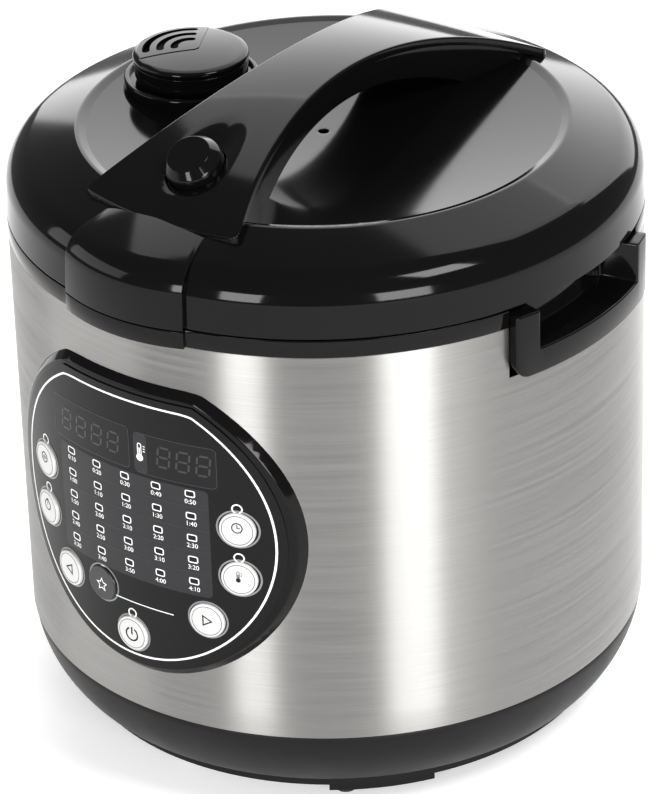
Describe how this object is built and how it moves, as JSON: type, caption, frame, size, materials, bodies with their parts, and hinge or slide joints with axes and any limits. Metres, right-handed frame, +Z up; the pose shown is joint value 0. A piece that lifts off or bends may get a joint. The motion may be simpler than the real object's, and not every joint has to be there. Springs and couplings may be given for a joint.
{
  "type": "electric multicooker",
  "caption": "Electric multicooker: brushed steel drum on a black base, hinged domed lid with bridge handle, steam vent, release button and a curved front control panel.",
  "frame": {"origin": "on the floor under the drum's axis", "axes": "+Z up, front (control panel) towards -Y, +X to the right of a person facing the panel"},
  "size_m": [0.284, 0.2847, 0.2993],
  "materials": {
    "black_moulding": "moulded, polished",
    "black_satin": "moulded, satin",
    "brushed_drum": "brushed round the drum",
    "panel_film": "gloss film",
    "silver_key": "painted silver",
    "dark_key": "gloss",
    "pot_coating": "dark non-stick coating on pressed aluminium",
    "pressed_aluminium": "pressed, satin",
    "spring_steel": "plain",
    "rubber_black": "moulded",
    "silicone": "translucent silicone",
    "grey_moulding": "moulded, satin",
    "circuit_board": "solder mask",
    "electronic_parts": "moulded cases",
    "display_glass": "smoked window",
    "lamp_white": "clear",
    "brass_blade": "plated"
  },
  "bodies": {
    "cooker": {"base_plate": "black_satin", "base_screws": "spring_steel", "base_shell": "black_satin", "board_components": "electronic_parts", "carry_handle_left": "black_moulding", "carry_handle_right": "black_moulding", "control_board": "circuit_board", "display_left": "display_glass", "display_right": "display_glass", "heater_posts": "spring_steel", "heating_element": "spring_steel", "heating_plate": "pressed_aluminium", "hinge_pin": "spring_steel", "inlet_pins": "brass_blade", "inner_liner": "pressed_aluminium", "inner_pot": "pot_coating", "outer_shell": "brushed_drum", "panel_bezel": "black_moulding", "panel_overlay": "panel_film", "panel_switches": "electronic_parts", "power_board": "circuit_board", "power_inlet": "black_satin", "program_lights": "lamp_white", "rubber_feet": "rubber_black", "sensor_sleeve": "grey_moulding", "sensor_spring": "spring_steel", "top_collar": "black_moulding"},
    "lid": {"lid_cover": "black_moulding", "lid_liner": "grey_moulding", "lid_screws": "spring_steel", "inner_lid": "pressed_aluminium", "lid_gasket": "silicone", "lid_grommet": "silicone", "vent_tube": "silicone", "vent_collar": "black_moulding", "bridge_top": "black_moulding", "bridge_bottom": "black_moulding", "bridge_screws": "spring_steel", "release_spring": "spring_steel"},
    "vent_cap": {"vent_cap": "black_moulding"},
    "release_button": {"release_button": "black_moulding"},
    "latch": {"latch_slider": "grey_moulding"},
    "sensor": {"temperature_sensor": "pressed_aluminium"},
    "clock_button": {"clock_button": "silver_key"},
    "warm_button": {"warm_button": "silver_key"},
    "heat_button": {"heat_button": "silver_key"},
    "delay_button": {"delay_button": "silver_key"},
    "next_button": {"next_button": "silver_key"},
    "back_button": {"back_button": "silver_key"},
    "favourite_button": {"favourite_button": "dark_key"},
    "power_button": {"power_button": "silver_key"}
  },
  "joints": [
    {"name": "lid_hinge", "type": "hinge", "parent": "cooker", "child": "lid", "pos_m": [0, 0.1385, 0.2319], "axis": [-1, 0, 0], "range_deg": [0, 88]},
    {"name": "release_press", "type": "slide", "parent": "lid", "child": "release_button", "axis": [0, 0.5, -0.866], "range_m": [0, 0.003], "stiffness_N_per_m": 500, "springref_m": -0.002, "deforming": ["release_spring"]},
    {"name": "latch_slide", "type": "slide", "parent": "lid", "child": "latch", "axis": [0, 1, 0], "range_m": [0, 0.003]},
    {"name": "vent_cap_lift", "type": "slide", "parent": "lid", "child": "vent_cap", "axis": [0, 0, 1], "range_m": [0, 0.025]},
    {"name": "sensor_press", "type": "slide", "parent": "cooker", "child": "sensor", "axis": [0, 0, -1], "range_m": [0, 0.0025], "stiffness_N_per_m": 800, "springref_m": -0.0015, "deforming": ["sensor_spring"]},
    {"name": "clock_press", "type": "slide", "parent": "cooker", "child": "clock_button", "axis": [-0.3665, 0.9304, 0], "range_m": [0, 0.0008], "stiffness_N_per_m": 700, "springref_m": -0.0006},
    {"name": "warm_press", "type": "slide", "parent": "cooker", "child": "warm_button", "axis": [0.3665, 0.9304, 0], "range_m": [0, 0.0008], "stiffness_N_per_m": 700, "springref_m": -0.0006},
    {"name": "heat_press", "type": "slide", "parent": "cooker", "child": "heat_button", "axis": [-0.3665, 0.9304, 0], "range_m": [0, 0.0008], "stiffness_N_per_m": 700, "springref_m": -0.0006},
    {"name": "delay_press", "type": "slide", "parent": "cooker", "child": "delay_button", "axis": [0.3665, 0.9304, 0], "range_m": [0, 0.0008], "stiffness_N_per_m": 700, "springref_m": -0.0006},
    {"name": "next_press", "type": "slide", "parent": "cooker", "child": "next_button", "axis": [-0.2639, 0.9646, 0], "range_m": [0, 0.0008], "stiffness_N_per_m": 700, "springref_m": -0.0006},
    {"name": "back_press", "type": "slide", "parent": "cooker", "child": "back_button", "axis": [0.2639, 0.9646, 0], "range_m": [0, 0.0008], "stiffness_N_per_m": 700, "springref_m": -0.0006},
    {"name": "favourite_press", "type": "slide", "parent": "cooker", "child": "favourite_button", "axis": [0.1132, 0.9936, 0], "range_m": [0, 0.0008], "stiffness_N_per_m": 700, "springref_m": -0.0006},
    {"name": "power_press", "type": "slide", "parent": "cooker", "child": "power_button", "axis": [0, 1, 0], "range_m": [0, 0.0008], "stiffness_N_per_m": 700, "springref_m": -0.0006}
  ],
  "couplings": [
    {"joint": "latch_slide", "follows": "release_press", "ratio": 1}
  ]
}
